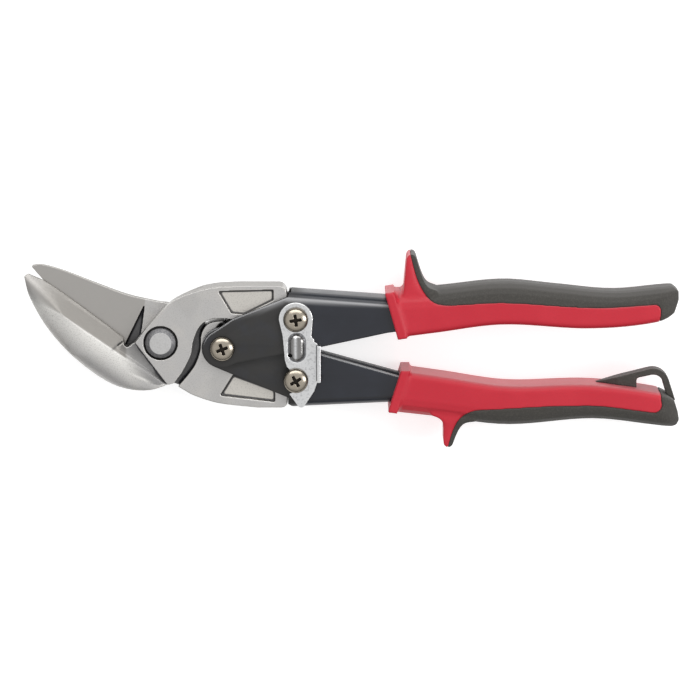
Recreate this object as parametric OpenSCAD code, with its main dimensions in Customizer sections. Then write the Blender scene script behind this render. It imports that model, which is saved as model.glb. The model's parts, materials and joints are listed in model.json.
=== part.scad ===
// Offset aviation snips with a compound four-bar action, drawn closed and latched.
// Millimetres. Origin on the main jaw pivot axis, at the bench the closed tool lies on,
// which touches the flat end of the jaw bolt. The modules draw about the shear plane of the
// jaws and on_bench() lifts them to their place.
// +X towards the grips, +Y towards the upper handle, +Z towards the latch side.

/* [Output] */
// Sub-part to draw

/* [Pivots] */
// Handle pivot, X
hp_x = 23.5; // [20:0.5:28]
// Handle pivot, Y
hp_y = -1.8; // [-4:0.1:2]
// Upper link pivot, X
ul_x = 51.5; // [46:0.5:56]
// Upper link pivot, Y
ul_y = 9.6; // [8:0.1:12]
// Lower link pivot, X
ll_x = 51.5; // [46:0.5:56]
// Lower link pivot, Y
ll_y = -13.8; // [-16:0.1:-10]
// Radius of the three pivot bushes
bush_r = 3.5; // [3:0.1:4]
// Running clearance of a pivot, radial
run_gap = 0.06; // [0.02:0.01:0.1]
// Clearance of the opened linkage pivot, radial
open_gap = 0.4; // [0.3:0.05:0.6]

/* [Jaws] */
// Half thickness of the jaws and of the front jaw's tail
jaw_t = 6.5; // [5:0.1:8]
// Half thickness of the rear jaw's tail
tail_t = 4.6; // [4:0.1:5]
// Radius of the main pivot bolt
bolt_r = 4; // [3:0.5:5]
// Depth of the sunk pockets in the tails
pocket_d = 1; // [0.5:0.1:1.5]
// Thickness of the cutting edge's land
land = 0.9; // [0.4:0.1:1.5]
// Width of the front jaw's ground face
ground_w = 5.2; // [4.5:0.1:6]

/* [Handles] */
// Sheet thickness of the channels
sheet = 1.8; // [1.2:0.1:2.4]
// Half width outside of the upper channel
upper_w = 8.45; // [7:0.05:9]
// Half width outside of the lower channel
lower_w = 6.5; // [6:0.05:7]
// Outer bend radius of the channels
bend_r = 3.2; // [2:0.1:4]
// Radius of the upper channel's nose
upper_nose = 7.2; // [6:0.1:9]
// Radius of the lower channel's nose
lower_nose = 7.9; // [7:0.1:9]
// Where the upper channel's web starts, X
upper_web = 49.7; // [49.5:0.1:52]
// Where the lower channel's web starts, X
lower_web = 50.2; // [50:0.1:52]

/* [Grips] */
// Half thickness of the grips
grip_w = 10.4; // [9:0.1:12]
// Half thickness of the finger guards
guard_w = 9; // [6:0.5:10]
// Half thickness of the hang loop
loop_w = 3.5; // [2:0.5:5]

/* [Hardware] */
// Radius of the screw heads
head_r = 4.75; // [4:0.05:5.5]
// Height of the screw heads
head_h = 2.9; // [2:0.1:4]
// Radius of the screw shanks
shank_r = 2.5; // [2:0.1:3]
// Thickness of the latch plate
latch_t = 1.4; // [1:0.1:2]

/* [Hidden] */
HP = [hp_x, hp_y];
UL = [ul_x, ul_y];
LL = [ll_x, ll_y];
bolt_end = jaw_t + 7.1;
shear = 0.03;
latch_z = upper_w + 0.1;
latch_top = latch_z + latch_t;
screw_fit = 0.04;
steel = [0.72, 0.71, 0.69];
zinc = [0.82, 0.82, 0.82];
navy = [0.12, 0.13, 0.17];
nickel = [0.66, 0.62, 0.55];
red = [0.75, 0.08, 0.18];
grey = [0.22, 0.21, 0.2];
spring_steel = [0.5, 0.5, 0.52];
$fn = 64;

// Smooth curve through a few points, n steps between each two. Tangents follow the spacing.
function heading(p, i) = let (a = max(i - 1, 0), b = min(i + 1, len(p) - 1))
    (p[b] - p[a]) / (norm(p[i] - p[a]) + norm(p[b] - p[i]));
function blend(a, b, da, db, t) = (2 * t - 3) * t * t * (a - b) + a
    + t * (1 - t) * ((1 - t) * da - t * db);
function smooth(p, n = 4) = [for (i = [0 : len(p) - 2]) for (k = [0 : n - 1])
    let (h = norm(p[i + 1] - p[i]))
    blend(p[i], p[i + 1], h * heading(p, i), h * heading(p, i + 1), k / n), p[len(p) - 1]];
// Arc from angle a to angle b about c
function arc(c, r, a, b, n = 10) =
    [for (k = [0 : n]) c + r * [cos(a + (b - a) * k / n), sin(a + (b - a) * k / n)]];
// Height at station x of a smooth line through points ordered along X
function seg(p, x) = max([for (i = [0 : len(p) - 2]) p[i][0] <= x ? i : 0]);
function slope(p, i) = let (a = max(i - 1, 0), b = min(i + 1, len(p) - 1))
    (p[b][1] - p[a][1]) / (p[b][0] - p[a][0]);
function level(p, x) = let (i = seg(p, x), h = p[i + 1][0] - p[i][0])
    blend(p[i][1], p[i + 1][1], h * slope(p, i), h * slope(p, i + 1), (x - p[i][0]) / h);

module on_bench() {
    translate([0, 0, bolt_end])
        children();
}

module slab(z0, z1) {
    translate([0, 0, z0])
        linear_extrude(z1 - z0)
            children();
}

module bore(c, r, z0 = -20, z1 = 20) {
    translate([c[0], c[1], z0])
        cylinder(r = r, h = z1 - z0);
}

// ---------- jaws ----------
front_edge = [[-14.5, 1.5], [-29, 12.5], [-43, 22.5], [-50.5, 26]];
front_belly = [[-52, 25], [-50, 17], [-42.5, 4], [-31, -8], [-18.5, -16.5], [-6.5, -18.5],
    [5, -15.5]];
front_inner = [[8, -11.5], [11.5, -4.5], [12.5, 1], [15.5, 7], [20.5, 9.5], [28, 9]];
front_back = [[30, 22], [21, 21.5], [12.5, 19.5], [4.5, 16], [-3.5, 8], [-9.7, 0.2]];

module front_plan() {
    polygon(concat(smooth(front_inner), [[40, 5.5]], arc(UL, 6.4, -90, 0, 8),
        [[ul_x + 4.5, ul_y + 4.5], [48.5, 15.5]], arc([45, 19], 3, 0, 90, 6),
        smooth(front_back), [[-12.8, -2], [-13.9, -1.2]], smooth(front_edge),
        smooth(front_belly, 5)));
}

// The half of the front jaw's tail beyond the shear plane, ramped clear of the rear jaw
module front_tail() {
    difference() {
        intersection() {
            slab(-jaw_t, shear + 0.01)
                front_plan();
            slab(-jaw_t - 1, 1)
                polygon([[3, 30], [3, 12], [16, 4], [60, -2], [60, 30]]);
        }
        translate([0, 0, -jaw_t - 0.1])
            cylinder(r1 = 26, r2 = 18.6, h = jaw_t + 0.2);
    }
}

module upper_pocket(s) {
    slab(s > 0 ? jaw_t - pocket_d : -jaw_t - 1, s > 0 ? jaw_t + 1 : pocket_d - jaw_t)
        polygon([[22, 20], [27, 11.5], [32, 11], [43, 16.5], [43, 20.5]]);
}

// Bar along +X from a profile given as [Y, Z]
module bar(length) {
    rotate([90, 0, 90])
        linear_extrude(length)
            children();
}

// Rounded fall from full height over a given run, as profile points past X = start
function fall(start, run, low) = [for (k = [0 : 6]) [start + run * k / 6,
    jaw_t - (jaw_t - low) * pow(k / 6, 2)]];

// Bar along the front jaw's cutting edge, its profile's X running from the edge to the belly
module along_edge() {
    translate([-14.6, 1.4, 0])
        rotate([0, 0, 145.4])
            translate([-32, 0, 0])
                bar(90)
                    children();
}

// Ground face rising from the cutting edge to a ridge, then a back rolled down to the belly
module front_roll() {
    crest = ground_w + 3.8;
    intersection() {
        along_edge()
            polygon(concat([[-6, -1], [-1.9, 0.3 * land], [0, land + 0.5]],
                [for (y = [ground_w : 1.6 : 18]) [y, jaw_t - 0.1 - 0.05 * pow(y - crest, 2)]],
                [[24, -1]]));
        translate([-42.5, 4, 0])
            rotate([0, 0, 120])
                translate([-60, 0, 0])
                    bar(90)
                        polygon(concat([[-60, -1], [-60, jaw_t]], fall(-14, 13.5, 2.6),
                            [[6, 1.5], [6, -1]]));
    }
}

// Sunk facet between the ground face and the pivot boss, deepest along the boss
module front_facet() {
    intersection() {
        slab(0, jaw_t)
            polygon([[-18, -2.8], [-14, 0.4], [-8, 2], [4.5, -18], [-8, -18.4], [-14, -15]]);
        along_edge()
            polygon([[-6, 0], [-6, 2.8], [ground_w, 4.9], [24, 4.9], [24, 0]]);
    }
}

module front_jaw() {
    color(steel)
        on_bench()
            difference() {
                union() {
                    intersection() {
                        slab(shear, jaw_t + 1)
                            front_plan();
                        union() {
                            front_roll();
                            slab(0, jaw_t)
                                polygon([[-9.9, 0.4], [1.9, -15.3], [4.5, -18], [60, -20], [60, 30],
                                    [-3, 30]]);
                            front_facet();
                        }
                    }
                    front_tail();
                }
                bore([0, 0], bolt_r + screw_fit);
                bore([0, 0], 6.5, jaw_t - 2.4, 20);
                bore(UL, bush_r + run_gap);
                upper_pocket(1);
                upper_pocket(-1);
            }
}

rear_spine = [[2.5, 14.5], [-12, 17.5], [-24, 22], [-36.5, 27], [-45.5, 29.5], [-49, 29]];
rear_cut = [[-49.2, 28.4], [-43.3, 22], [-29, 11], [-14.5, -1.5]];
rear_inner = [[6.5, -17], [12.5, -9.5], [15, -3], [15.5, 3.5], [18.5, 7.5], [26, 8.5]];
rear_foot = [[36.5, -25.2], [22, -23.5], [12.5, -20.5], [8, -18]];

module rear_tail_plan() {
    difference() {
        polygon(concat(smooth(rear_inner), [[30, -7.8]], arc(LL, 6.4, 90, 0, 8),
            [[ll_x + 3, ll_y - 6], [48.5, -19.5]], arc([46, -22.9], 2.3, 0, -90, 6),
            smooth(rear_foot)));
        translate(HP)
            circle(r = 7);
        for (c = [[24.5, 0.5], [26, 3]])
            translate(c)
                circle(r = 5.4);
    }
}

// The rear jaw's outer side: a bevel along the cutting edge and a rounded fall to the spine
module rear_outer() {
    intersection() {
        translate([-14.5, -1.5, 0])
            rotate([0, 0, 142])
                translate([-24, 0, 0])
                    bar(80)
                        polygon([[3, -1], [2, 0], [0.5, land], [-5.5, jaw_t], [-30, jaw_t],
                            [-30, -1]]);
        translate([-48, 30.5, 0])
            rotate([0, 0, -16.8])
                translate([-10, 0, 0])
                    bar(80)
                        polygon(concat([[-60, -1], [-60, jaw_t]], fall(-9, 8.4, 1.6),
                            [[5, 1.2], [5, -1]]));
    }
}

module rear_jaw() {
    color(steel)
        on_bench()
            difference() {
                union() {
                    intersection() {
                        slab(-jaw_t - 1, -shear)
                            polygon(concat(smooth(rear_spine), smooth(rear_cut),
                                [[-10, -8], [0, -14], [10, 0]]));
                        mirror([0, 0, 1])
                            rear_outer();
                    }
                    bore([0, 0], 14.3, -jaw_t, -shear);
                    slab(-tail_t, -shear)
                        polygon([[0, 0], [-3, -14], [6.5, -17], [16, -18], [24, -14], [16, -8],
                            [16.6, 7.8]]);
                    slab(-tail_t, tail_t)
                        rear_tail_plan();
                }
                bore([0, 0], bolt_r + run_gap);
                bore(LL, bush_r + open_gap);
                slab(-3, 1)
                    polygon([[-6.1, 14.6], [-14.5, -2.5], [-12.5, -4], [-8.7, -2], [-7.4, 5]]);
                for (s = [0, 1])
                    mirror([0, 0, s])
                        slab(tail_t - pocket_d, tail_t + 1)
                            polygon([[27.5, -12.5], [22.5, -20.5], [43.5, -23], [43.5, -18.5]]);
            }
}

module jaw_bolt() {
    color(steel)
        on_bench()
            union() {
                bore([0, 0], bolt_r, -13.6, jaw_t - 2);
                bore([0, 0], 5.75, jaw_t - 2.35, jaw_t);
                translate([0, 0, jaw_t])
                    cylinder(r1 = 5.75, r2 = 4.1, h = 1.1);
            }
}

module jaw_washer() {
    color(zinc)
        on_bench()
            difference() {
                bore([0, 0], 7.4, -jaw_t - 1.3, -jaw_t - 0.05);
                bore([0, 0], bolt_r + screw_fit, -20, 0);
            }
}

// Hexagon lock nut seated at z, its rounded collar towards -Z
module lock_nut(c, across, r, z, h) {
    color(zinc)
        on_bench()
            difference() {
                union() {
                    intersection() {
                        slab(z - h * 0.72, z)
                            translate(c)
                                rotate(15)
                                    circle(d = across / cos(30), $fn = 6);
                        translate([c[0], c[1], z - h * 0.72])
                            cylinder(r1 = across * 0.53, r2 = across * 0.62, h = h * 0.72);
                    }
                    translate([c[0], c[1], z - h])
                        cylinder(r1 = across * 0.4, r2 = across * 0.46, h = h * 0.3);
                }
                bore(c, r);
            }
}

module jaw_lock_nut() {
    lock_nut([0, 0], 13, bolt_r + screw_fit, -jaw_t - 1.32, 5.4);
}

// Domed screw with a cross recess, head seated at z and shank down to z_end
module dome_screw(c, z, z_end, turn) {
    color(nickel)
        on_bench()
            difference() {
                union() {
                    translate([c[0], c[1], z])
                        rotate_extrude()
                            polygon(concat([[0, 0], [head_r, 0]],
                                [for (a = [0 : 10 : 80]) [head_r * cos(a),
                                    0.7 + (head_h - 0.7) * sin(a)]], [[0, head_h]]));
                    bore(c, shank_r, z_end, z + 0.5);
                }
                for (a = [turn, turn + 90])
                    translate([c[0], c[1], z + head_h])
                        rotate(a)
                            cube([4.6, 1.15, 3.2], center = true);
            }
}

// Plain round sleeve
module sleeve(c, r_out, r_in, z0, z1) {
    color(steel)
        on_bench()
            difference() {
                bore(c, r_out, z0, z1);
                bore(c, r_in, z0 - 1, z1 + 1);
            }
}

module handle_pivot_screw() {
    dome_screw(HP, upper_w + 0.02, -upper_w - 5, 20);
}

module handle_pivot_bush() {
    sleeve(HP, bush_r, shank_r + screw_fit, sheet + 0.02 - upper_w, upper_w - sheet - 0.02);
}

module handle_pivot_nut() {
    lock_nut(HP, 8, shank_r + screw_fit, -upper_w - 0.02, 4.8);
}

module upper_link_screw() {
    dome_screw(UL, latch_top + 0.05, -upper_w - 5, 8);
}

module upper_link_bush() {
    sleeve(UL, bush_r, shank_r + screw_fit, sheet + 0.02 - upper_w, upper_w - sheet - 0.02);
}

module upper_link_nut() {
    lock_nut(UL, 8, shank_r + screw_fit, -upper_w - 0.02, 4.8);
}

module lower_link_screw() {
    dome_screw(LL, latch_top + 0.05, -lower_w - 5, 30);
}

module lower_link_bush() {
    sleeve(LL, bush_r, shank_r + screw_fit, sheet + 0.02 - lower_w, lower_w - sheet - 0.02);
}

module lower_link_nut() {
    lock_nut(LL, 8, shank_r + screw_fit, -lower_w - 0.02, 4.8);
}

module latch_stop_collar() {
    sleeve(LL, 3.1, shank_r + screw_fit, lower_w + 0.02, latch_top + 0.04);
}

// ---------- handles ----------
// Bent sheet channel, web outside at Y = 0, open towards -Y
module channel_bar(w, length, gap = 0) {
    bar(length)
        polygon(concat([[-36, -w]], arc([-bend_r, bend_r - w], bend_r, -90, 0, 6),
            arc([-bend_r, w - bend_r], bend_r, 0, 90, 6), [[-36, w], [-36, w - sheet]],
            arc([-bend_r, w - bend_r], bend_r - sheet, 90, 0, 5),
            arc([-bend_r, bend_r - w], bend_r - sheet, 0, -90, 5), [[-36, sheet - w]]));
}

module upper_axis() {
    translate([51, 19.8, 0])
        rotate([0, 0, -4.1])
            children();
}

module lower_axis() {
    mirror([0, 1, 0])
        translate([51, 24.8, 0])
            rotate([0, 0, -2.6])
                children();
}

module upper_cheek_plan() {
    polygon(concat([[29, -7.3]], arc(HP, upper_nose, -75, -245, 16),
        [[27.5, 9.5], [48.6, 18], [49.2, 20.5], [60, 22], [168, 16], [168, 8.5], [120, 8.5],
        [86.5, 4.3], [60.5, -1.3]]));
}

module lower_cheek_plan() {
    polygon(concat([[48.5, -21]], arc(HP, lower_nose, -112, -286, 16),
        [[61, -4.5], [90, -12.5], [120, -18], [172, -19], [172, -27], [60, -27],
        [50.5, -25], [48.5, -23.5]]));
}

module upper_handle_channel() {
    color(navy)
        on_bench()
            difference() {
                intersection() {
                    upper_axis()
                        translate([-45, 0, 0])
                            channel_bar(upper_w, 165);
                    slab(-20, 20)
                        upper_cheek_plan();
                }
                translate([0, 0, sheet - upper_w])
                    cube([upper_web, 40, 2 * (upper_w - sheet)]);
                bore(HP, shank_r + screw_fit);
                bore(UL, shank_r + screw_fit);
            }
}

module lower_handle_channel() {
    color(navy)
        on_bench()
            difference() {
                intersection() {
                    lower_axis()
                        translate([-45, 0, 0])
                            channel_bar(lower_w, 165);
                    slab(-20, 20)
                        lower_cheek_plan();
                }
                translate([0, -40, sheet - lower_w])
                    cube([lower_web, 40, 2 * (lower_w - sheet)]);
                bore(HP, bush_r + run_gap);
                bore(LL, shank_r + screw_fit);
            }
}

// ---------- grips ----------
upper_hi = [[80, 19.8], [105, 21], [130, 23.5], [150, 21.8], [172, 19.8], [190, 21.3],
    [198, 22]];
upper_lo = [[80, 1], [105, 4.3], [130, 7.4], [163, 5.9], [188, 8.2], [198, 12.5]];
lower_hi = [[80, -8.8], [108, -12.8], [132, -16.2], [163, -15.7], [188, -18.6], [194, -20.8],
    [198, -24]];
lower_lo = [[80, -25.8], [105, -28.6], [132, -31.7], [165, -29.4], [188, -31.8], [198, -33]];
stations = concat([for (x = [81 : 4 : 189]) x], [191, 192.5, 194, 195.2, 196.2, 197, 197.8]);

// Rounded section at X, from Y lo to hi, radii a on the low side and b on the high side
function ring(x, lo, hi, w, a, b) = [for (q = concat(
    arc([lo + a, a - w], a, -180, -90, 4), arc([hi - b, b - w], b, -90, 0, 4),
    arc([hi - b, w - b], b, 0, 90, 4), arc([lo + a, w - a], a, 90, 180, 4))) [x, q[0], q[1]]];
function thick(x) = grip_w - (x > 190 ? 0.085 * (x - 190) * (x - 190) : 0);

module loft(rings) {
    n = len(rings[0]);
    m = len(rings);
    polyhedron([for (r = rings) for (p = r) p],
        concat([[for (j = [0 : n - 1]) j]], [[for (j = [n - 1 : -1 : 0]) (m - 1) * n + j]],
            [for (i = [0 : m - 2]) for (j = [0 : n - 1])
                [i * n + j, (i + 1) * n + j, (i + 1) * n + (j + 1) % n, i * n + (j + 1) % n]]));
}

module grip_body(lo, hi, a, b) {
    loft([for (x = stations) let (l = level(lo, x), h = level(hi, x), k = min(1, (h - l) / 14))
        ring(x, l, h, thick(x), a * k, b * k)]);
}

module upper_solid() {
    intersection() {
        union() {
            grip_body(upper_lo, upper_hi, 2.4, 6.6);
            slab(-guard_w, guard_w)
                polygon(concat([[92, 12], [92.5, 21], [93.5, 32.5]],
                    arc([95.4, 32.4], 1.8, 170, 20, 6), smooth([[98, 30], [99.5, 25.5],
                    [101.5, 22], [105, 20.5]], 3), [[108, 12]]));
        }
        slab(-30, 30)
            polygon([[87, 40], [87, 21], [92.5, 2], [92.5, -10], [180, -10], [189, 7.2],
                [195.3, 11.8], [197, 16.5], [197, 19.8], [194, 22.3], [190, 40]]);
    }
}

module upper_pad_plan() {
    polygon(concat([[95, 45]], smooth([[95, 34], [97.5, 25], [100.5, 19.2], [104, 16],
        [109, 15], [130, 16], [165, 14], [187, 15.2]]), arc([187.7, 13], 2.3, 75, -10, 5),
        [[189.5, 5], [215, 0], [215, 45]]));
}

module upper_tang() {
    intersection() {
        upper_axis()
            translate([-2, -26, -upper_w - 0.05])
                cube([123, 26.05, 2 * upper_w + 0.1]);
        slab(-30, 30)
            offset_tang(0.05)
                upper_cheek_plan();
    }
}

module upper_grip_shell() {
    color(red)
        on_bench()
            difference() {
                union() {
                    difference() {
                        upper_solid();
                        slab(-30, 30)
                            upper_pad_plan();
                    }
                    slab(-grip_w - 0.7, grip_w + 0.7)
                        polygon([[85.3, 19.7], [88.8, 20.3], [94, 2.5], [90.3, 1.9]]);
                }
                upper_tang();
            }
}

// Moves the inner outline of a tang outwards a little by stacking two shifts
module offset_tang(d) {
    union() {
        children();
        translate([0, -d])
            children();
        translate([0.1, d])
            children();
    }
}

module upper_grip_pad() {
    color(grey)
        on_bench()
            difference() {
                intersection() {
                    upper_solid();
                    slab(-30, 30)
                        upper_pad_plan();
                }
                upper_tang();
            }
}

module lower_solid() {
    intersection() {
        union() {
            grip_body(lower_lo, lower_hi, 6.4, 2.2);
            slab(-guard_w, guard_w)
                polygon(concat([[103, -20]], smooth([[103, -27.5], [106, -28.7], [107.4, -30.2],
                    [107.8, -33]], 3), arc([109.6, -38.2], 1.8, 180, 335, 6),
                    smooth([[112.5, -35.5], [114, -32.5], [116, -30.6], [120, -29.9]], 3),
                    [[122, -20]]));
        }
        slab(-30, 30)
            polygon([[93.5, 0], [93.5, -9], [88, -26], [88, -50], [190, -50], [194.5, -32.6],
                [196.8, -31.8], [197.8, -29.8], [197.2, -26.5], [195.6, -21.6], [190, -16],
                [180, 0]]);
    }
}

module lower_pad_plan() {
    polygon(concat([[109.5, -45]], smooth([[109.5, -39.5], [111.5, -33], [114, -28.7],
        [118.5, -25.8], [125, -25.1], [163, -23.5], [186, -26.1]]),
        arc([187.8, -23.2], 3, -80, 20, 6), [[190, -15], [215, -15], [215, -45]]));
}

module lower_grip_shell() {
    color(red)
        on_bench()
            difference() {
                union() {
                    difference() {
                        lower_solid();
                        slab(-30, 30)
                            lower_pad_plan();
                    }
                    slab(-grip_w - 0.7, grip_w + 0.7)
                        polygon([[91.5, -10], [95, -10], [90, -26.5], [86.5, -26]]);
                }
                intersection() {
                    lower_axis()
                        translate([-2, -26, -lower_w - 0.05])
                            cube([123, 26.05, 2 * lower_w + 0.1]);
                    slab(-30, 30)
                        offset_tang(0.05)
                            lower_cheek_plan();
                }
            }
}

module lower_grip_pad() {
    color(grey)
        on_bench()
            intersection() {
                lower_solid();
                slab(-30, 30)
                    lower_pad_plan();
            }
}

loop_c = [187.9, -16.6];
loop_r = 6.3;
strap = 2.4;

module hang_loop() {
    color(grey)
        on_bench()
            difference() {
                intersection() {
                    slab(-loop_w, loop_w)
                        difference() {
                            polygon(concat([[164.5, -16]], arc(loop_c, loop_r, 108, 12, 8),
                                [[196.4, -22.5], [190, -24], [166, -19]]));
                            polygon(concat([[181.5, -21], [181.5, -14]],
                                arc(loop_c, loop_r - strap, 104, 5, 8), [[193.6, -22]]));
                        }
                    translate([162.5, 30, 0])
                        rotate([90, 0, 0])
                            linear_extrude(80)
                                polygon([[0, 0], [15, -loop_w - 1], [40, -loop_w - 1],
                                    [40, loop_w + 1], [15, loop_w + 1]]);
                }
                lower_solid();
            }
}

// ---------- latch and spring ----------
module latch_plate() {
    notch = [[48, -8.4], [49.2, -9.8]];
    color(zinc)
        on_bench()
            difference() {
                union() {
                    slab(latch_z, latch_top)
                        polygon(concat(arc(UL, 6.5, 0, 180, 16), [[46.5, 3], [47.3, -6]], notch,
                            arc(LL, 3.3, 75, -63, 10), [[49, -19]], arc([53.5, -22.8], 1.5,
                            -150, -30, 5), [[58.5, -18], [59.7, -14.5], [59.7, 0.5],
                            [58.5, 1], [58.5, 2], [57.5, 3]]));
                    slab(latch_z, latch_top + 4.4)
                        polygon([[59.6, -14], [61, -14], [61, 0], [59.6, 0]]);
                    for (d = [-2.2, 2.2])
                        translate([51.9, -1.2 + d, latch_top - 0.1])
                            cylinder(r1 = 2.9, r2 = 2, h = 0.8);
                    translate([51.9, -3.4, latch_top - 0.1])
                        rotate([-90, 0, 0])
                            linear_extrude(4.4)
                                polygon([[-2.9, 0], [2.9, 0], [2, -0.8], [-2, -0.8]]);
                }
                bore(UL, shank_r + run_gap);
                bore([49.4, -4.1], 0.9);
            }
}

wire_r = 0.6;
coil_r = 4.2;
coil_z = 2.4;
function wire_path() = concat([[76, 14.9, coil_z], [64, 8, coil_z], [50, -1, coil_z]],
    [for (k = [0 : 70]) [hp_x + coil_r * cos(-90 - 18 * k), hp_y + coil_r * sin(-90 - 18 * k),
        coil_z * (1 - k / 35)]],
    [[50, -3.8, -coil_z], [64, -12, -coil_z], [76, -21, -coil_z]]);

// Round wire along a path that stays close to level
module wire(p, r) {
    last = len(p) - 1;
    loft([for (i = [0 : last]) let (t = p[min(i + 1, last)] - p[max(i - 1, 0)],
        l = norm([t[0], t[1]]), s = [-t[1] / l, t[0] / l])
        [for (a = [0 : 45 : 315]) [p[i][0] + r * cos(a) * s[0], p[i][1] + r * cos(a) * s[1],
            p[i][2] + r * sin(a)]]]);
}

module torsion_spring() {
    color(spring_steel)
        on_bench()
            wire(wire_path(), wire_r);
}

// ---------- output ----------
front_jaw();
jaw_bolt();
jaw_washer();
jaw_lock_nut();
rear_jaw();
upper_handle_channel();
handle_pivot_screw();
handle_pivot_bush();
handle_pivot_nut();
upper_link_screw();
upper_link_bush();
upper_link_nut();
upper_grip_shell();
upper_grip_pad();
lower_handle_channel();
lower_link_screw();
lower_link_bush();
lower_link_nut();
latch_stop_collar();
lower_grip_shell();
lower_grip_pad();
hang_loop();
latch_plate();
torsion_spring();
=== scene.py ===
"""Looks of the offset aviation snips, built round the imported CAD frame.

Lengths passed to the tools below are in mm unless they say metres. Meshes are in metres.
"""
import json
import math

import bmesh
import bpy
import numpy as np
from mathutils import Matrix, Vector


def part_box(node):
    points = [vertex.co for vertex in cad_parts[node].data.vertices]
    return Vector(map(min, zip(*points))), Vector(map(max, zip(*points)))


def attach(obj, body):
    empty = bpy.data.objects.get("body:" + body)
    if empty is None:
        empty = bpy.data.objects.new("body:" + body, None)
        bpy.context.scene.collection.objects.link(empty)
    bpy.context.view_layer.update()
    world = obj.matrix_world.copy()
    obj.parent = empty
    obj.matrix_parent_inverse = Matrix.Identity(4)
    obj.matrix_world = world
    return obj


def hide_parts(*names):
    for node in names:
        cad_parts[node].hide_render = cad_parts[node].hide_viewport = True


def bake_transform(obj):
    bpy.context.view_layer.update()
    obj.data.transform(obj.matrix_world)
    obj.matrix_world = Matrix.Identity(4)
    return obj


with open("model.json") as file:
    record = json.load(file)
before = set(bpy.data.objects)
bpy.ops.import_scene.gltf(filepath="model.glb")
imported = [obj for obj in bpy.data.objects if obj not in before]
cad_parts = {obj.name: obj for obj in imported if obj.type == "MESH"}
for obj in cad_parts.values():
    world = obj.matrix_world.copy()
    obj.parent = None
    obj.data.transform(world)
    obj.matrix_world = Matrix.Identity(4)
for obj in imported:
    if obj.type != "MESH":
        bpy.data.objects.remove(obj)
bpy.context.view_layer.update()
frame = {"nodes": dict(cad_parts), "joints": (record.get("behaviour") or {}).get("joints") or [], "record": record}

MM = 0.001
WELD_GAP = 2e-6  # metres
SHRINK = 0.5  # share of the way to the neighbours' mean that a smoothing step goes
SWELL = -0.52
FILLET_SPAN = 6  # edges over which an inner corner is told from a flat
FILLET_HOLLOW = (0.1, 0.6)  # how hollow the surface is where a fillet starts and is full
NODES = frame["nodes"]
JOINTS = {j["name"]: Vector(j["pos_m"]) for j in frame["joints"]}
SHEAR_Z = JOINTS["jaw_pivot"].z


# ---------- mesh tools ----------
def weld(piece):
    piece.modifiers.new("weld", "WELD").merge_threshold = WELD_GAP


def from_cad(node, name, voxel):
    """A finely remeshed copy of a CAD node, ready to be shaped."""
    piece = bpy.data.objects.new(name, NODES[node].data.copy())
    bpy.context.scene.collection.objects.link(piece)
    weld(piece)
    remesh = piece.modifiers.new("remesh", "REMESH")
    remesh.mode = "VOXEL"
    remesh.voxel_size = voxel * MM
    return settle(piece)


def settle(piece):
    """Applies a piece's modifiers."""
    graph = bpy.context.evaluated_depsgraph_get()
    mesh = bpy.data.meshes.new_from_object(piece.evaluated_get(graph))
    piece.modifiers.clear()
    piece.data = mesh
    mesh.name = piece.name
    return piece


def points(piece):
    co = np.empty(len(piece.data.vertices) * 3)
    piece.data.vertices.foreach_get("co", co)
    return co.reshape(-1, 3)


def set_points(piece, co):
    piece.data.vertices.foreach_set("co", co.ravel())
    piece.data.update()


def neighbours(piece):
    """The point pairs that edges join, and each point's number of neighbours."""
    pairs = np.empty(len(piece.data.edges) * 2, dtype=np.int64)
    piece.data.edges.foreach_get("vertices", pairs)
    count = np.bincount(pairs, minlength=len(piece.data.vertices)).astype(float)
    return pairs.reshape(-1, 2), count


def averaged(values, pairs, count):
    """Each point's values replaced by the mean of its neighbours'."""
    total = np.zeros_like(values)
    for axis in range(values.shape[1]):
        total[:, axis] = (
            np.bincount(pairs[:, 0], values[pairs[:, 1], axis], len(values))
            + np.bincount(pairs[:, 1], values[pairs[:, 0], axis], len(values)))
    return total / count[:, None]


def relax(piece, rounds, weight=None):
    """Smoothing that keeps the size: each round shrinks the piece a little and swells it back.

    weight (0 to 1 per point) says how much of it each point takes.
    """
    co = points(piece)
    pairs, count = neighbours(piece)
    weight = 1 if weight is None else weight[:, None]
    for _ in range(rounds):
        for share in (SHRINK, SWELL):
            co += share * weight * (averaged(co, pairs, count) - co)
    set_points(piece, co)


def soften(piece, rounds, weight, upright=False):
    """Plain smoothing of the points that weight picks out. Upright moves them along Z only."""
    co = points(piece)
    pairs, count = neighbours(piece)
    moved = co[:, 2:] if upright else co
    for _ in range(rounds):
        moved += SHRINK * weight[:, None] * (averaged(moved, pairs, count) - moved)
    set_points(piece, co)


def store(piece, name, values):
    """Keeps one number per point for the materials to read."""
    layer = piece.data.attributes.new(name, "FLOAT", "POINT")
    layer.data.foreach_set("value", np.asarray(values, dtype=np.float32))


def normals(piece):
    n = np.empty(len(piece.data.vertices) * 3)
    piece.data.vertices.foreach_get("normal", n)
    return n.reshape(-1, 3)


def shape_of(piece, rounds, reach):
    """How hollow (positive) or raised (negative) the surface is, 1 for a depth of reach."""
    co = points(piece)
    pairs, count = neighbours(piece)
    wide = co.copy()
    for _ in range(rounds):
        wide = averaged(wide, pairs, count)
    return ((wide - co) * normals(piece)).sum(1) / (reach * MM)


def store_shape(piece, rounds, reach):
    """Point attributes hollow and edge, each 0 to 1."""
    bend = shape_of(piece, rounds, reach)
    store(piece, "hollow", np.clip(bend, 0, 1))
    store(piece, "edge", np.clip(-bend, 0, 1))


def fillet(piece, rounds, reach):
    """Rounds a piece's inner corners only."""
    hollow = np.clip(shape_of(piece, FILLET_SPAN, reach), 0, 1)
    soften(piece, rounds, step(hollow, *FILLET_HOLLOW))


def smooth_shading(piece):
    piece.data.polygons.foreach_set("use_smooth", [True] * len(piece.data.polygons))


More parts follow.
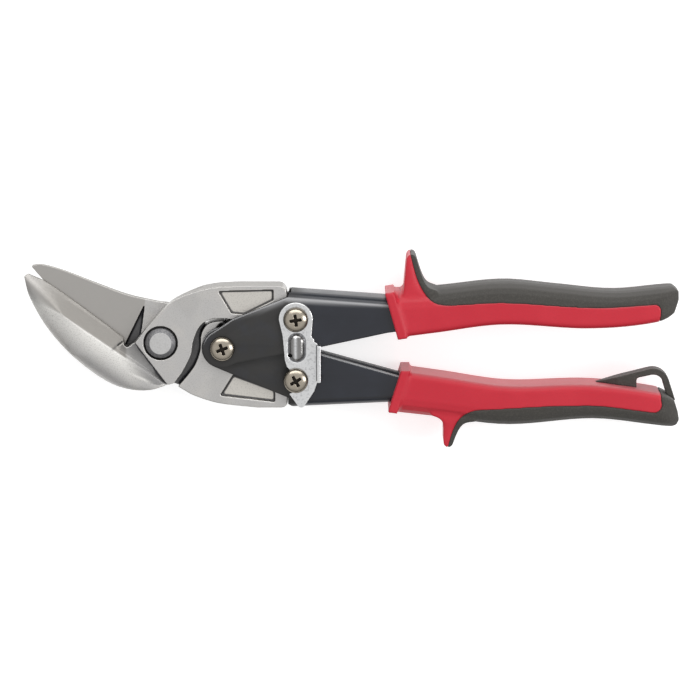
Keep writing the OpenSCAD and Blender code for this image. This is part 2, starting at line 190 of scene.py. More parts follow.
def step(x, a, b):
    """A soft step from 0 at a to 1 at b."""
    t = np.clip((x - a) / (b - a), 0, 1)
    return t * t * (3 - 2 * t)


def between(x, low, high):
    return (x > low) & (x < high)


def line_distance(co, start, angle):
    """Signed distance in XY from a line, positive to its left, and the place along it."""
    c, s = math.cos(math.radians(angle)), math.sin(math.radians(angle))
    dx, dy = co[:, 0] / MM - start[0], co[:, 1] / MM - start[1]
    return -s * dx + c * dy, c * dx + s * dy


def inside(co, corners, margin):
    """True for points whose XY place lies inside a convex outline, grown by margin."""
    within = np.ones(len(co), dtype=bool)
    for i, a in enumerate(corners):
        b = corners[(i + 1) % len(corners)]
        angle = math.degrees(math.atan2(b[1] - a[1], b[0] - a[0]))
        within &= line_distance(co, a, angle)[0] > -margin
    return within


# ---------- material tools ----------
# In the looks below, noise sizes and heights are mm and colours are linear RGB
class Look:
    """A principled material with short calls for procedural detail."""

    def __init__(self, name, color, metallic, roughness):
        self.material = bpy.data.materials.new(name)
        self.material.use_nodes = True
        self.nodes = self.material.node_tree.nodes
        self.links = self.material.node_tree.links
        self.shader = self.nodes["Principled BSDF"]
        self.shader.inputs["Metallic"].default_value = metallic
        self.place = self.nodes.new("ShaderNodeTexCoord").outputs["Object"]
        self.color = self.constant_color(color)
        self.roughness = self.constant(roughness)
        self.height = self.constant(0)

    def constant(self, value):
        node = self.nodes.new("ShaderNodeValue")
        node.outputs[0].default_value = value
        return node.outputs[0]

    def constant_color(self, color):
        node = self.nodes.new("ShaderNodeRGB")
        node.outputs[0].default_value = (*color, 1)
        return node.outputs[0]

    def math(self, operation, a, b=None):
        node = self.nodes.new("ShaderNodeMath")
        node.operation = operation
        for socket, value in zip(node.inputs, (a, b)):
            if value is None:
                continue
            if isinstance(value, (int, float)):
                socket.default_value = value
            else:
                self.links.new(value, socket)
        return node.outputs[0]

    def noise(self, size, detail=2, stretch=(1, 1, 1)):
        """Noise from 0 to 1 whose grains are about size mm across."""
        scale = self.nodes.new("ShaderNodeVectorMath")
        scale.operation = "MULTIPLY"
        scale.inputs[1].default_value = [k / (size * MM) for k in stretch]
        self.links.new(self.place, scale.inputs[0])
        node = self.nodes.new("ShaderNodeTexNoise")
        node.inputs["Scale"].default_value = 1
        node.inputs["Detail"].default_value = detail
        self.links.new(scale.outputs[0], node.inputs["Vector"])
        return node.outputs["Fac"]

    def attribute(self, name):
        node = self.nodes.new("ShaderNodeAttribute")
        node.attribute_name = name
        return node.outputs["Fac"]

    def axis(self, which):
        node = self.nodes.new("ShaderNodeSeparateXYZ")
        self.links.new(self.place, node.inputs[0])
        return node.outputs[which]

    def radius(self):
        """Distance from the frame's Z axis."""
        x, y = self.axis("X"), self.axis("Y")
        squares = self.math("ADD", self.math("POWER", x, 2), self.math("POWER", y, 2))
        return self.math("SQRT", squares)

    def geometry(self, output):
        return self.nodes.new("ShaderNodeNewGeometry").outputs[output]

    def facing(self, which):
        """How much the surface faces along X, Y or Z, -1 to 1."""
        node = self.nodes.new("ShaderNodeSeparateXYZ")
        self.links.new(self.geometry("Normal"), node.inputs[0])
        return node.outputs[which]

    def edge_facing(self, which, radius):
        """The same, as if the edges were rounded off over radius mm."""
        edge = self.nodes.new("ShaderNodeBevel")
        edge.inputs["Radius"].default_value = radius * MM
        node = self.nodes.new("ShaderNodeSeparateXYZ")
        self.links.new(edge.outputs[0], node.inputs[0])
        return node.outputs[which]

    def ramp(self, value, low, high):
        """0 at low, 1 at high."""
        node = self.nodes.new("ShaderNodeMapRange")
        node.interpolation_type = "SMOOTHSTEP"
        node.inputs["From Min"].default_value = low
        node.inputs["From Max"].default_value = high
        self.links.new(value, node.inputs["Value"])
        return node.outputs["Result"]

    def tint(self, mask, color, amount=1.0):
        """Mixes color in where mask is high."""
        node = self.nodes.new("ShaderNodeMix")
        node.data_type = "RGBA"
        self.links.new(self.math("MULTIPLY", mask, amount), node.inputs["Factor"])
        self.links.new(self.color, node.inputs["A"])
        node.inputs["B"].default_value = (*color, 1)
        self.color = node.outputs["Result"]

    def add_roughness(self, mask, amount):
        self.roughness = self.math("ADD", self.roughness, self.math("MULTIPLY", mask, amount))

    def add_height(self, mask, amount):
        """Raises the surface by amount mm where mask is 1."""
        self.height = self.math("ADD", self.height, self.math("MULTIPLY", mask, amount * MM))

    def done(self):
        self.links.new(self.color, self.shader.inputs["Base Color"])
        self.links.new(self.roughness, self.shader.inputs["Roughness"])
        bump = self.nodes.new("ShaderNodeBump")
        bump.inputs["Distance"].default_value = 1
        self.links.new(self.height, bump.inputs["Height"])
        self.links.new(bump.outputs[0], self.shader.inputs["Normal"])
        return self.material


def jaw_steel():
    """Blasted forging: grainy, with ground faces, a painted highlight on the scoop, and painted shade in hollows,
    on faces that look towards +Y and where the shade attribute says.
    """
    look = Look("jaw_steel", (0.56, 0.55, 0.54), 1, 0.4)
    ground = look.attribute("ground")
    blasted = look.math("SUBTRACT", 1, ground)
    grain = look.noise(0.38, 4)
    look.tint(look.ramp(look.noise(7, 3), 0.4, 0.7), (0.62, 0.6, 0.57), 0.6)
    look.tint(look.ramp(look.noise(13, 1), 0.45, 0.65), (0.46, 0.455, 0.45), 0.4)
    # Painted highlight on the scoop, and a painted glint along the sunken facet's edge
    look.tint(look.attribute("scoop_highlight"), (0.88, 0.865, 0.83), 0.85)
    look.tint(look.attribute("pocket"), (0.68, 0.65, 0.6), 0.8)
    look.tint(look.math("MULTIPLY", look.ramp(grain, 0.5, 0.68), blasted), (0.36, 0.35, 0.33), 0.45)
    look.tint(ground, (0.41, 0.395, 0.375), 0.9)
    look.tint(look.attribute("bevel"), (0.335, 0.32, 0.3), 1)
    look.tint(look.attribute("shade"), (0.045, 0.045, 0.05), 0.9)
    # Painted shade in hollows
    look.tint(look.ramp(look.attribute("hollow"), 0.25, 0.85), (0.03, 0.03, 0.035), 0.9)
    look.tint(look.ramp(look.attribute("edge"), 0.5, 1), (0.72, 0.7, 0.67), 0.3)
    # Painted shade on faces that look towards +Y
    look.tint(look.ramp(look.facing("Y"), 0.72, 0.95), (0.27, 0.26, 0.245), 0.75)
    look.add_roughness(look.noise(1.2), 0.1)
    look.add_roughness(ground, 0.06)
    look.add_height(look.math("MULTIPLY", grain, blasted), 0.05)
    look.add_height(look.math("MULTIPLY", look.noise(0.5, 1, (1, 0.06, 1)), ground), 0.005)
    look.add_height(look.noise(4), 0.04)
    return look.done()


def bolt_steel():
    """Turned steel, its disc bright and painted shade on the chamfered ring round it."""
    look = Look("bolt_steel", (0.62, 0.615, 0.61), 1, 0.28)
    head = look.ramp(look.axis("Z"), 19 * MM, 19.5 * MM)
    painted_shade_rim = look.math("MULTIPLY", look.ramp(look.radius(), 4.0 * MM, 4.25 * MM), head)
    # Painted shade on the chamfered ring round the disc
    look.tint(painted_shade_rim, (0.16, 0.16, 0.17), 0.9)
    look.tint(look.ramp(look.noise(0.6, 3), 0.4, 0.75), (0.45, 0.44, 0.43), 0.45)
    look.add_roughness(look.noise(1), 0.14)
    look.add_roughness(painted_shade_rim, 0.22)
    look.add_height(look.noise(0.4, 3), 0.012)
    return look.done()


def zinc_steel():
    """Mottled zinc plating, darker and rougher on the nuts underneath, with painted shade in hollows, a painted
    highlight on raised edges and a painted dark reflection on the latch's dimple.
    """
    look = Look("zinc_steel", (0.74, 0.745, 0.75), 1, 0.24)
    look.tint(look.ramp(look.noise(0.9, 4), 0.5, 0.66), (0.42, 0.42, 0.43), 0.5)
    # Painted shade in hollows and a painted highlight on raised edges
    look.tint(look.ramp(look.attribute("hollow"), 0.2, 0.8), (0.12, 0.12, 0.13), 0.8)
    look.tint(look.ramp(look.attribute("edge"), 0.3, 0.9), (0.9, 0.9, 0.9), 0.5)
    # Painted dark reflection on the dimple's polished dome
    look.tint(look.attribute("dimple_dark_reflection"), (0.2, 0.195, 0.19), 0.9)
    underside = look.ramp(look.axis("Z"), 12 * MM, 9 * MM)
    look.tint(underside, (0.3, 0.3, 0.31), 0.85)
    look.add_roughness(underside, 0.12)
    look.add_roughness(look.attribute("dimple_dark_reflection"), -0.14)
    look.add_roughness(look.noise(2.5), 0.14)
    look.add_height(look.noise(0.6, 4), 0.03)
    return look.done()


def nickel_screw():
    """Warm nickel plating, with painted shade on its rim and in its recess."""
    look = Look("nickel_screw", (0.42, 0.375, 0.31), 1, 0.17)
    look.tint(look.ramp(look.noise(1.5, 3), 0.42, 0.7), (0.36, 0.32, 0.26), 0.5)
    # Painted shade on the dome's rim and in the cross recess
    look.tint(look.attribute("painted_shade_rim"), (0.13, 0.115, 0.095), 0.8)
    look.tint(look.attribute("recess"), (0.015, 0.012, 0.01), 0.95)
    look.add_roughness(look.noise(0.7, 3), 0.1)
    look.add_roughness(look.attribute("recess"), 0.3)
    look.add_height(look.noise(0.8, 2), 0.008)
    return look.done()


def channel_paint():
    """Dark paint: matte brown-grey by the jaws, glossy blue-black behind the latch, with a painted highlight on
    rounded edges that turn towards +Y and painted shadow on those that turn towards -Y.
    """
    look = Look("channel_paint", (0.007, 0.009, 0.016), 0, 0.28)
    matte = look.ramp(look.axis("X"), 56 * MM, 50 * MM)
    look.tint(matte, (0.016, 0.0148, 0.0138), 0.95)
    look.tint(look.ramp(look.noise(9, 3), 0.45, 0.75), (0.014, 0.018, 0.03), 0.4)
    flat = look.ramp(look.facing("Z"), 0.9, 0.98)
    turned = look.edge_facing("Y", 0.9)
    # Painted highlight on rounded edges turning towards +Y, painted shadow on those turning towards -Y
    edge_highlight = look.math("MULTIPLY", look.ramp(turned, 0.1, 0.32), flat)
    shadow = look.math("MULTIPLY", look.ramp(turned, -0.1, -0.35), flat)
    look.tint(edge_highlight, (0.5, 0.5, 0.51), 0.9)
    look.tint(shadow, (0.001, 0.001, 0.001), 0.9)
    look.add_roughness(matte, 0.24)
    look.add_roughness(look.noise(4), 0.1)
    look.add_height(look.noise(0.9, 2), 0.012)
    look.add_height(look.noise(6, 1), 0.05)
    look.shader.inputs["Coat Weight"].default_value = 0.15
    look.shader.inputs["Coat Roughness"].default_value = 0.2
    return look.done()


def red_grip():
    """Moulded red plastic, with a painted highlight on the faces that look towards +Y, and painted shade on those
    that look towards -Y and in hollows.
    """
    look = Look("red_grip", (0.50, 0.005, 0.022), 0, 0.42)
    look.tint(look.ramp(look.noise(14, 2), 0.35, 0.7), (0.54, 0.012, 0.03), 0.6)
    look.tint(look.ramp(look.noise(0.7, 3), 0.45, 0.65), (0.46, 0.008, 0.024), 0.4)
    # Painted highlight on faces that look towards +Y, painted shade on faces that look towards -Y and in hollows
    look.tint(look.ramp(look.facing("Y"), 0.5, 0.95), (0.6, 0.2, 0.22), 0.55)
    look.tint(look.ramp(look.facing("Y"), -0.3, -0.9), (0.36, 0.003, 0.012), 0.6)
    look.tint(look.ramp(look.attribute("hollow"), 0.2, 0.9), (0.12, 0.001, 0.006), 0.85)
    look.add_roughness(look.noise(0.9, 3), 0.14)
    look.add_height(look.noise(0.5, 3), 0.03)
    look.shader.inputs["Sheen Weight"].default_value = 0.05
    look.shader.inputs["Subsurface Weight"].default_value = 0.05
    look.shader.inputs["Subsurface Radius"].default_value = (0.002, 0.0006, 0.0004)
    return look.done()


def soft_pad():
    """Fine-grained dark rubber, with a painted highlight on faces that look towards +Y and painted shade in
    hollows.
    """
    look = Look("soft_pad", (0.036, 0.033, 0.028), 0, 0.62)
    look.tint(look.ramp(look.noise(0.6, 4), 0.45, 0.65), (0.055, 0.05, 0.043), 0.7)
    # Painted highlight on faces that look towards +Y, and painted shade in hollows
    look.tint(look.ramp(look.facing("Y"), 0.4, 0.9), (0.11, 0.105, 0.1), 0.5)
    look.tint(look.ramp(look.attribute("hollow"), 0.2, 0.9), (0.006, 0.006, 0.006), 0.85)
    look.add_roughness(look.noise(0.7, 3), 0.15)
    look.add_height(look.noise(0.4, 3), 0.04)
    look.shader.inputs["Sheen Weight"].default_value = 0.06
    return look.done()


def spring_wire():
    """Drawn wire with some oxide."""
    look = Look("spring_wire", (0.3, 0.3, 0.31), 1, 0.35)
    look.tint(look.ramp(look.noise(1.5, 3), 0.45, 0.7), (0.12, 0.11, 0.1), 0.5)
    look.add_roughness(look.noise(0.6, 2), 0.15)
    look.add_height(look.noise(0.25, 2), 0.01)
    return look.done()


LOOKS = {f.__name__: f() for f in (jaw_steel, bolt_steel, zinc_steel, nickel_screw,
                                   channel_paint, red_grip, soft_pad, spring_wire)}
BODY_OF = {n: b for b, ns in frame["record"]["behaviour"]["bodies"].items() for n in ns}
SLOT_OF = {p["node"]: p["material_slot"] for p in frame["record"]["subparts"]}


def dress(piece, node):
    """Gives a new piece the look of the CAD node it stands for, and hides that node."""
    smooth_shading(piece)
    piece.data.materials.clear()
    piece.data.materials.append(LOOKS[SLOT_OF[node]])
    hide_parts(node)


def finish_piece(piece, node):
    """The same, and lets the piece ride on the node's body."""
    dress(piece, node)
    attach(piece, BODY_OF[node])


# ---------- jaws ----------
JAW_VOXEL = 0.3
JAW_ROUNDS = 9  # of size-keeping smoothing
BACK_ROUNDS = 160  # of plain smoothing over the front jaw's rolled back
TIP_ROUNDS = 260
KEEP_FLAT = 0.9  # share of the smoothing the shear faces are spared
KEEP_TIP = 0.8  # the same for the rear jaw's thin tip
JAW_BEND = 0.07  # depth that counts as fully hollow or raised
JAW_SPAN = 4  # edges over which that depth is taken
GROUND_W = 5.2  # width of the front jaw's ground strip
# Soft steps of the front jaw's shape and tints, from none to full
BACK_X = (-2, -8)
ABOVE_RIM = (0.6, 1.4)  # heights over the shear plane
SHEAR_FLAT = (0.5, 0.2)
SHEAR_GROUND = (0.35, 0.1)
BACK_TIP = (28, 34)  # places along the cutting edge
TIP_ROUNDED = (24, 32)
RIDGE_FADE = (24, 36)
STRIP_FADE = (27, 40)
SCOOP_TIP = (41, 30)
RIDGE_BLUR = 2.8  # how wide the ridge's colour change gets at the tip
STRIP_X = (-12.6, -14)
SCOOP_X = (-4, -16)
SCOOP_BELLY = (15.5, 7)  # distances from the cutting edge
CREASE_DEPTH = (-9, -2.5)  # distances from the crease
NOTCH_SHADE_W = (0.8, 0.1)  # distances from the painted shade line in the notch dent and from the painted glint
GLINT_W = (0.9, 0.1)
FRONT_STEEP = (0.97, 0.8)  # how much a steep face looks along Z
# Where those tints may lie on the front jaw
FRONT_SHEAR_END = 16
FRONT_POCKET_UP = (5, 5.9)
FRONT_POCKET_FROM = (20, 10)
FRONT_GAP_X = (12, 26)
FRONT_GAP_Y = (3, 11)
GAP_BOTTOM = -1
# Soft steps of the rear jaw
REAR_FLAT = (-0.5, -0.15)
REAR_GROUND = (-0.4, -0.15)
REAR_TIP_X = (-42, -47)
PATCH_BLUR = (0.2, -0.2)
RELIEF_DEPTH = (-0.2, -0.8)
RELIEF_FLOOR = -3.4
DISC_RIM = (10.5, 12.5)  # distances from the jaw pivot
REAR_STEEP = (0.9, 0.6)
REAR_TOP = 0.3  # height over the shear plane that the rear jaw's top stays under
REAR_SHEAR_END = 12
REAR_POCKET_DEPTH = (3.2, 4.1)
REAR_POCKET_FROM = (22, -12)
REAR_GAP_X = (4, 32)
REAR_GAP_HALF = 24
# Lines as a start and a direction in degrees
EDGE_FRONT = ((-14.6, 1.4), 145.4)
CREASE = ((-9.9, 0.4), -53)
FACET_GLINT = ((-14, -10.6), -25)
NOTCH_DENT_SHADE = ((-18.9, -3.2), 41)
PATCH_EDGE = ((-8.5, -2), 82)
# Convex outlines
FACET = ((-15, -0.8), (-16.8, -7), (-13, -10.9), (-6, -15), (-0.5, -16.3), (1.9, -15.3),
         (-9.9, 0.4))
RELIEF = ((-6.1, 14.6), (-14.5, -2.5), (-12.5, -4), (-8.7, -2), (-7.4, 5))


def jaw_places(piece):
    """X, Y and the height over the jaws' shear plane of each point."""
    co = points(piece)
    return co[:, 0] / MM, co[:, 1] / MM, (co[:, 2] - SHEAR_Z) / MM


def shape_front_jaw(piece):
    """Rounds the rolled back and the tip, and keeps the shear face flat."""
    x, _, up = jaw_places(piece)
    away, along = line_distance(points(piece), *EDGE_FRONT)
    past_ridge = step(away, GROUND_W + 0.3, GROUND_W + 1.5)
    near_tip = step(along, *BACK_TIP)
    above_rim = step(up, *ABOVE_RIM)
    back = np.maximum(past_ridge, near_tip) * step(x, *BACK_X) * above_rim
    soften(piece, BACK_ROUNDS, back, upright=True)
    tip = step(along, *TIP_ROUNDED) * above_rim * (x < BACK_X[0])
    soften(piece, TIP_ROUNDS, tip, upright=True)
    shear_face = step(up, *SHEAR_FLAT) * (x < FRONT_SHEAR_END)
    relax(piece, JAW_ROUNDS, 1 - KEEP_FLAT * shear_face)
    store_shape(piece, JAW_SPAN, JAW_BEND)


def front_jaw():
    """Adds where the steel is ground and pocketed, and where a highlight or shade is painted on it."""
    piece = from_cad("front_jaw", "front_jaw_forging", JAW_VOXEL)
    shape_front_jaw(piece)
    x, y, up = jaw_places(piece)
    co = points(piece)
    away, along = line_distance(co, *EDGE_FRONT)
    clear_of_shear = up > 0.2

    # The ridge between ground strip and scoop fades out towards the tip
    blur = RIDGE_BLUR * step(along, *RIDGE_FADE)
    strip = step(away, GROUND_W + 0.15 + blur, GROUND_W - 0.15 - blur)
    strip = strip * step(x, *STRIP_X) * clear_of_shear * (1 - 0.5 * step(along, *STRIP_FADE))
    shear_face = step(up, *SHEAR_GROUND) * (x < FRONT_SHEAR_END)
    store(piece, "ground", np.maximum(strip, shear_face))
    store(piece, "bevel", strip)

    # Painted highlight over the scoop past the ridge, and a painted glint along the lower edge of the sunken facet
    past_ridge = step(away, GROUND_W - 0.1 - blur, GROUND_W + 0.3 + blur)
    scoop_highlight = past_ridge * step(away, *SCOOP_BELLY) * step(x, *SCOOP_X) * (up > 0.5)
    scoop_highlight = scoop_highlight * step(along, *SCOOP_TIP)
    off, place = line_distance(co, *FACET_GLINT)
    glint = step(np.abs(off), *GLINT_W) * step(place, -1, 3) * step(place, 13, 8) * (up > 0.5)
    store(piece, "scoop_highlight", np.maximum(scoop_highlight, glint))
    pocket = (x > FRONT_POCKET_FROM[0]) & (y > FRONT_POCKET_FROM[1])
    store(piece, "pocket", between(up, *FRONT_POCKET_UP) & pocket)

    sunk = step(line_distance(co, *CREASE)[0], *CREASE_DEPTH)
    facet = inside(co, FACET, 0) * clear_of_shear * sunk
    # Painted shade in the notch dent, drawn as a thin dark line
    off, place = line_distance(co, *NOTCH_DENT_SHADE)
    notch = step(np.abs(off), *NOTCH_SHADE_W) * step(place, 0, 1) * step(place, 5, 4) * clear_of_shear
    steep = step(np.abs(normals(piece)[:, 2]), *FRONT_STEEP)
    gap = steep * between(x, *FRONT_GAP_X) * between(y, *FRONT_GAP_Y) * (up > GAP_BOTTOM)
    # The shade attribute is painted shade: on the sunken facet, in the notch dent and on steep faces by the gap
    # that FRONT_GAP_X and FRONT_GAP_Y bound
    store(piece, "shade", np.maximum.reduce((0.6 * facet * (1 - glint), 0.5 * notch, 0.9 * gap)))
    finish_piece(piece, "front_jaw")


def rear_jaw():
    """The same for the rear jaw, whose shear face looks up."""
    piece = from_cad("rear_jaw", "rear_jaw_forging", JAW_VOXEL)
    x, y, up = jaw_places(piece)
    shear_face = step(up, *REAR_FLAT) * (x < REAR_SHEAR_END)
    tip = step(x, *REAR_TIP_X)
    relax(piece, JAW_ROUNDS, (1 - KEEP_FLAT * shear_face) * (1 - KEEP_TIP * tip))
    store_shape(piece, JAW_SPAN, JAW_BEND)
    x, y, up = jaw_places(piece)
    co = points(piece)
    blasted_patch = step(line_distance(co, *PATCH_EDGE)[0], *PATCH_BLUR)
    store(piece, "ground", step(up, *REAR_GROUND) * (1 - blasted_patch) * (up < REAR_TOP))
    pocket = (x > REAR_POCKET_FROM[0]) & (y < REAR_POCKET_FROM[1])
    store(piece, "pocket", between(np.abs(up), *REAR_POCKET_DEPTH) & pocket)
    # Painted shade in the relief groove and, round the gap by the jaw pivot, on the shear face and its steep faces
    relief = inside(co, RELIEF, 0.15) * step(up, *RELIEF_DEPTH) * (up > RELIEF_FLOOR)
    in_gap = between(x, *REAR_GAP_X) & (np.abs(y) < REAR_GAP_HALF) & (up > GAP_BOTTOM)
    in_gap = in_gap * step(np.hypot(x, y), *DISC_RIM)
    steep = step(np.abs(normals(piece)[:, 2]), *REAR_STEEP)
    store(piece, "shade", np.clip(relief + in_gap * np.maximum(steep, up < REAR_TOP), 0, 0.9))
    finish_piece(piece, "rear_jaw")


# ---------- grips ----------
GRIP_VOXEL = 0.42
LOOP_VOXEL = 0.3
GRIP_ROUNDS = 10
LOOP_ROUNDS = 8
GRIP_BEND = 0.14
GRIP_SPAN = 5
FILLET_ROUNDS = 60
FILLET_REACH = 0.12
GUARD_ROUNDS = 70
UPPER_GUARD_Y = (18, 23)
UPPER_GUARD_END = 108
LOWER_GUARD_Y = (-29, -33)
LOWER_GUARD_X = (100, 118)


def round_guard(piece):
    """Rounds the edges of the finger guards, keeping their outline."""
    co = points(piece)
    x, y = co[:, 0] / MM, co[:, 1] / MM
    upper = step(y, *UPPER_GUARD_Y) * (x < UPPER_GUARD_END)
    lower = step(y, *LOWER_GUARD_Y) * between(x, *LOWER_GUARD_X)
    soften(piece, GUARD_ROUNDS, np.maximum(upper, lower), upright=True)


def grip_part(node, name, voxel=GRIP_VOXEL, rounds=GRIP_ROUNDS):
    """A moulded piece with rounded edges and filleted inner corners."""
    piece = from_cad(node, name, voxel)
    round_guard(piece)
    fillet(piece, FILLET_ROUNDS, FILLET_REACH)
    relax(piece, rounds)
    store_shape(piece, GRIP_SPAN, GRIP_BEND)
    finish_piece(piece, node)


# ---------- latch and screws ----------
LATCH_VOXEL = 0.2
LATCH_FACE = 9.7  # least height of the plate's face over the shear plane
DIMPLE = (51.9, -1.2)
DIMPLE_R = 2.9
DIMPLE_H = 1.5
DIMPLE_HALF = 2.2  # half the length of its straight part
# Distances from the dimple's middle line, as shares of DIMPLE_R
GROOVE_R = 1.12
GROOVE_HALF = 0.16
PRESSED_R = 1.3
DIMPLE_RIM = (1.02, 0.94)
GROOVE_D = 0.2
FACE_SLACK = 0.25  # how far below the plate's face a point still counts as on it
HIGHLIGHT_STREAK_SHIFT = 0.5  # of the painted highlight streak left along the dimple, towards -X
HIGHLIGHT_STREAK_HALF = 0.55
LATCH_BEND = 0.05
LATCH_SPAN = 4
SCREW_VOXEL = 0.14
DOME_RISE = 2.2
SCREW_RIM = (0.8, 0.98)  # shares of the head's radius
RECESS_R = 2.9
RECESS_STEP = (0.12, 0.5)  # depths under the dome
RECESS_DEPTH = 2.2


def latch():
    """The plate with its long pressed dimple raised into a dome inside a shallow groove."""
    piece = from_cad("latch_plate", "latch_pressing", LATCH_VOXEL)
    relax(piece, 6)
    co = points(piece)
    x, y = co[:, 0] / MM, co[:, 1] / MM
    top = np.median(co[co[:, 2] > SHEAR_Z + LATCH_FACE * MM, 2])
    straight = np.clip(y - DIMPLE[1], -DIMPLE_HALF, DIMPLE_HALF)
    out = np.hypot(x - DIMPLE[0], y - DIMPLE[1] - straight) / DIMPLE_R
    dome = DIMPLE_H * np.sqrt(np.clip(1 - out * out, 0, 1))
    groove = GROOVE_D * np.clip(1 - ((out - GROOVE_R) / GROOVE_HALF) ** 2, 0, 1)
    pressed = (co[:, 2] > top - FACE_SLACK * MM) & (out < PRESSED_R)
    co[pressed, 2] = top + ((dome - groove) * MM)[pressed]
    set_points(piece, co)
    relax(piece, 3)
    store_shape(piece, LATCH_SPAN, LATCH_BEND)
    # Painted dark reflection over the dome, with a painted highlight streak left bright along it
    highlight_streak = np.exp(-((x - DIMPLE[0] + HIGHLIGHT_STREAK_SHIFT) / HIGHLIGHT_STREAK_HALF) ** 2)
    store(piece, "dimple_dark_reflection", pressed * step(out, *DIMPLE_RIM) * (1 - highlight_streak))
    finish_piece(piece, "latch_plate")


def screw(node):
    """A domed screw, with where its rim and its recess lie, for the painted shade on them."""
    piece = from_cad(node, node + "_turned", SCREW_VOXEL)
    relax(piece, 4)
    low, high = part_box(node)
    co = points(piece)
    out = np.hypot(co[:, 0] - (low.x + high.x) / 2, co[:, 1] - (low.y + high.y) / 2)
    head_r = (high.x - low.x) / 2
    dome = high.z - DOME_RISE * MM * (1 - np.sqrt(np.clip(1 - (out / head_r) ** 2, 0, 1)))
    sunk = (dome - co[:, 2]) / MM
    store(piece, "painted_shade_rim", step(out / head_r, *SCREW_RIM))
    in_recess = (sunk < RECESS_DEPTH) & (out < RECESS_R * MM)
    store(piece, "recess", step(sunk, *RECESS_STEP) * in_recess)
    finish_piece(piece, node)


# ---------- spring ----------
SPRING_VOXEL = 0.15


def spring():
    """The torsion spring's wire, smoothed, given its look and baked in place; it is attached to neither handle."""
    piece = from_cad("torsion_spring", "torsion_spring_wire", SPRING_VOXEL)
    relax(piece, 4)
    dress(piece, "torsion_spring")
    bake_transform(piece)


# ---------- carried-over hardware ----------
FLAT_ANGLE = math.radians(1.5)
EDGE_ANGLE = math.radians(28)
CHANNEL_EDGE = 0.45
HARDWARE_EDGE = 0.2
EDGE_SEGMENTS = 3


def finish_cad(node, bevel):
    """Rounds a CAD node's edges and gives it its look. The mesh itself stays as packed."""
    part = NODES[node]
    weld(part)
    flat = part.modifiers.new("flat", "DECIMATE")
    flat.decimate_type = "DISSOLVE"
    flat.angle_limit = FLAT_ANGLE
    edge = part.modifiers.new("edge", "BEVEL")
    edge.width = bevel * MM
    edge.segments = EDGE_SEGMENTS
    edge.limit_method = "ANGLE"
    edge.angle_limit = EDGE_ANGLE
    edge.harden_normals = True
    if not part.data.materials:
        part.data.materials.append(LOOKS[SLOT_OF[node]])
    for slot in part.material_slots:
        slot.material = LOOKS[SLOT_OF[node]]
    smooth_shading(part)


front_jaw()
rear_jaw()
for node, name in (("upper_grip_shell", "upper_grip_moulding"),
                   ("upper_grip_pad", "upper_pad_moulding"),
                   ("lower_grip_shell", "lower_grip_moulding"),
                   ("lower_grip_pad", "lower_pad_moulding")):
    grip_part(node, name)
grip_part("hang_loop", "hang_loop_strap", LOOP_VOXEL, LOOP_ROUNDS)
latch()
for node in ("handle_pivot_screw", "upper_link_screw", "lower_link_screw"):
    screw(node)
spring()
for node in ("upper_handle_channel", "lower_handle_channel"):
    finish_cad(node, CHANNEL_EDGE)
for node in ("jaw_bolt", "jaw_washer", "jaw_lock_nut", "handle_pivot_bush", "handle_pivot_nut",
             "upper_link_bush", "upper_link_nut", "lower_link_bush", "lower_link_nut",
             "latch_stop_collar"):
    finish_cad(node, HARDWARE_EDGE)


# ---------- stage ----------
# Lengths in metres
TILT = math.radians(9)
VIEW_WIDTH = 266.4 * MM
CAMERA_DISTANCE = 1.5
VIEW_MIDDLE = Vector((72.1 * MM, -2.6 * MM, SHEAR_Z + 6.5 * MM))
SENSOR = 36  # mm
FLOOR_GAP = 0.3 * MM
FLOOR_HALF = 3
FLOOR_GLOW = 0.66
SKY_RISE = (0.05, 0.8)  # sine of the height at which the sky is darkest and brightest
SKY_STRENGTH = (0.1, 0.82)
LIGHTS = (("top_softbox", (0.05, 0.7, 0.55), (1.2, 0.4), 4),
          ("right_softbox", (0.7, 0.05, 0.5), (0.3, 0.4), 2))
LIT_PLACE = (0.07, 0, SHEAR_Z)


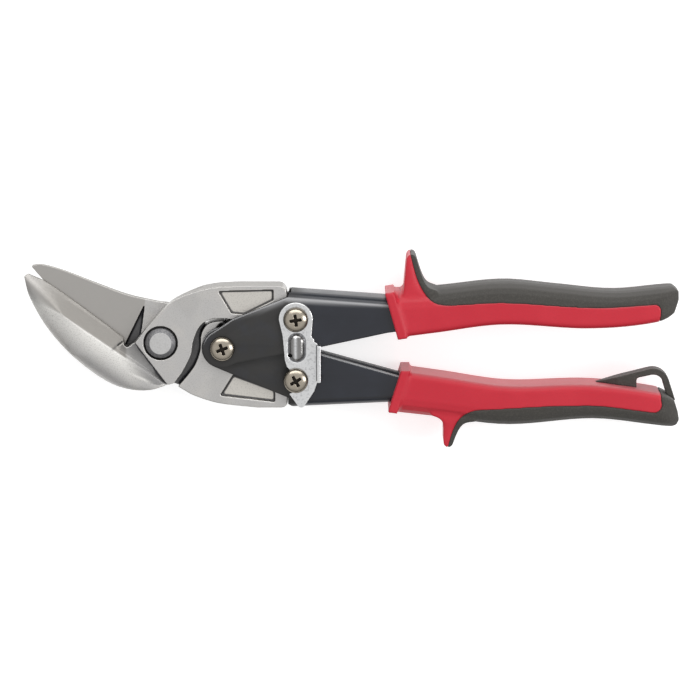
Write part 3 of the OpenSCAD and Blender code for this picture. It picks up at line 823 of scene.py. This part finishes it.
def floor():
    look = Look("floor", (0.58, 0.58, 0.58), 0, 0.8)
    look.tint(look.noise(40, 1), (0.62, 0.62, 0.62), 1)
    look.shader.inputs["Emission Color"].default_value = (1, 1, 1, 1)
    look.shader.inputs["Emission Strength"].default_value = FLOOR_GLOW
    mesh = bpy.data.meshes.new("floor")
    grid = bmesh.new()
    bmesh.ops.create_grid(grid, x_segments=2, y_segments=2, size=FLOOR_HALF)
    grid.to_mesh(mesh)
    grid.free()
    ground = bpy.data.objects.new("floor", mesh)
    ground.location.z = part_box("jaw_bolt")[0].z - FLOOR_GAP
    mesh.materials.append(look.done())
    bpy.context.scene.collection.objects.link(ground)


def soft_light(name, place, size, power):
    data = bpy.data.lights.new(name, "AREA")
    data.shape = "RECTANGLE"
    data.size, data.size_y = size
    data.energy = power
    lamp = bpy.data.objects.new(name, data)
    lamp.location = place
    lamp.rotation_mode = "QUATERNION"
    lamp.rotation_quaternion = (Vector(LIT_PLACE) - Vector(place)).to_track_quat("-Z", "Y")
    bpy.context.scene.collection.objects.link(lamp)


def sky(world):
    """Bright overhead and dark at the horizon, so that steep metal faces read darker."""
    nodes, links = world.node_tree.nodes, world.node_tree.links
    place = nodes.new("ShaderNodeTexCoord")
    split = nodes.new("ShaderNodeSeparateXYZ")
    rise = nodes.new("ShaderNodeMapRange")
    rise.interpolation_type = "SMOOTHSTEP"
    rise.inputs["From Min"].default_value, rise.inputs["From Max"].default_value = SKY_RISE
    rise.inputs["To Min"].default_value, rise.inputs["To Max"].default_value = SKY_STRENGTH
    links.new(place.outputs["Generated"], split.inputs[0])
    links.new(split.outputs["Z"], rise.inputs["Value"])
    links.new(rise.outputs["Result"], nodes["Background"].inputs["Strength"])
    nodes["Background"].inputs["Color"].default_value = (1, 1, 1, 1)


def studio():
    world = bpy.data.worlds.new("studio")
    world.use_nodes = True
    sky(world)
    bpy.context.scene.world = world
    for light in LIGHTS:
        soft_light(*light)
    bpy.context.scene.view_settings.view_transform = "Standard"


def camera():
    data = bpy.data.cameras.new("camera")
    data.sensor_width = SENSOR
    data.lens = SENSOR * CAMERA_DISTANCE / VIEW_WIDTH
    eye = bpy.data.objects.new("camera", data)
    eye.location = VIEW_MIDDLE + CAMERA_DISTANCE * Vector((0, math.sin(TILT), math.cos(TILT)))
    eye.rotation_euler = (-TILT, 0, 0)
    bpy.context.scene.collection.objects.link(eye)
    bpy.context.scene.camera = eye


floor()
studio()
camera()
